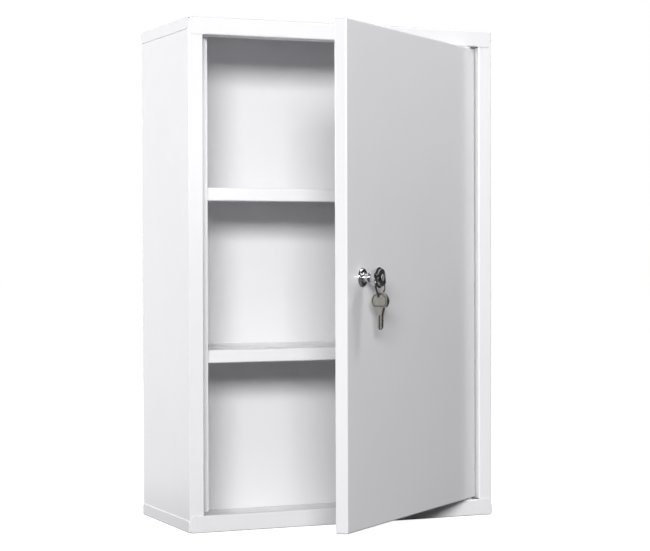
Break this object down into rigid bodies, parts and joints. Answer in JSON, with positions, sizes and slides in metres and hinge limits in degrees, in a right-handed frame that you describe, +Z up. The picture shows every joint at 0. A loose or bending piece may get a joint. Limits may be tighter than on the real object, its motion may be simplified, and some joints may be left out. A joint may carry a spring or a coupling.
{
  "type": "lockable medicine cabinet",
  "caption": "Shallow wall cabinet in white folded sheet steel with shelves, a hinged pan door and a knob cam lock with keys on a ring.",
  "frame": {"origin": "centre of the base, on the surface that the cabinet stands on", "axes": "+X to the viewer's right, +Y from the front of the cabinet towards the wall, +Z up"},
  "size_m": [0.305, 0.3055, 0.46],
  "materials": {
    "powder_coat": "semi-gloss powder coat",
    "zinc": "bright zinc plate",
    "chrome": "polished",
    "nickel": "nickel plate, worn",
    "nylon": "natural nylon"
  },
  "bodies": {
    "cabinet": {"left_side_panel": "powder_coat", "right_side_panel": "powder_coat", "top_cap": "powder_coat", "bottom_cap": "powder_coat", "back_panel": "powder_coat", "upper_shelf": "powder_coat", "lower_shelf": "powder_coat", "upper_shelf_angles": "powder_coat", "lower_shelf_angles": "powder_coat", "upper_hinge_plate": "zinc", "lower_hinge_bracket": "zinc", "upper_hinge_pin": "zinc", "lower_hinge_pin": "zinc"},
    "door": {"door_skin": "powder_coat", "door_stiffener": "powder_coat", "upper_hinge_bush": "nylon", "lower_hinge_bush": "nylon", "lock_knob": "chrome", "lock_washer": "zinc", "lock_nut": "zinc"},
    "lock_core": {"lock_plug": "chrome", "cam_latch": "zinc", "cam_washer": "zinc", "cam_screw": "zinc"},
    "key_ring": {"key_ring": "nickel"},
    "front_key": {"front_key": "nickel"},
    "rear_key": {"rear_key": "nickel"}
  },
  "joints": [
    {"name": "door_hinge", "type": "hinge", "parent": "cabinet", "child": "door", "pos_m": [0.1266, -0.06325, 0.23], "axis": [0, 0, 1], "range_deg": [-39.5, 75]},
    {"name": "lock_turn", "type": "hinge", "parent": "door", "child": "lock_core", "pos_m": [-0.05023, -0.21647, 0.2288], "axis": [-0.6361, 0.7716, 0], "range_deg": [0, 90]},
    {"name": "ring_swing", "type": "hinge", "parent": "door", "child": "key_ring", "pos_m": [-0.03954, -0.22943, 0.2288], "axis": [0.6361, -0.7716, 0], "range_deg": [-60, 60]},
    {"name": "front_key_swing", "type": "hinge", "parent": "key_ring", "child": "front_key", "pos_m": [-0.03954, -0.22943, 0.21455], "axis": [-0.7716, -0.6361, 0], "range_deg": [-20, 60]},
    {"name": "rear_key_swing", "type": "hinge", "parent": "key_ring", "child": "rear_key", "pos_m": [-0.03954, -0.22943, 0.21455], "axis": [-0.7716, -0.6361, 0], "range_deg": [-20, 60]}
  ]
}
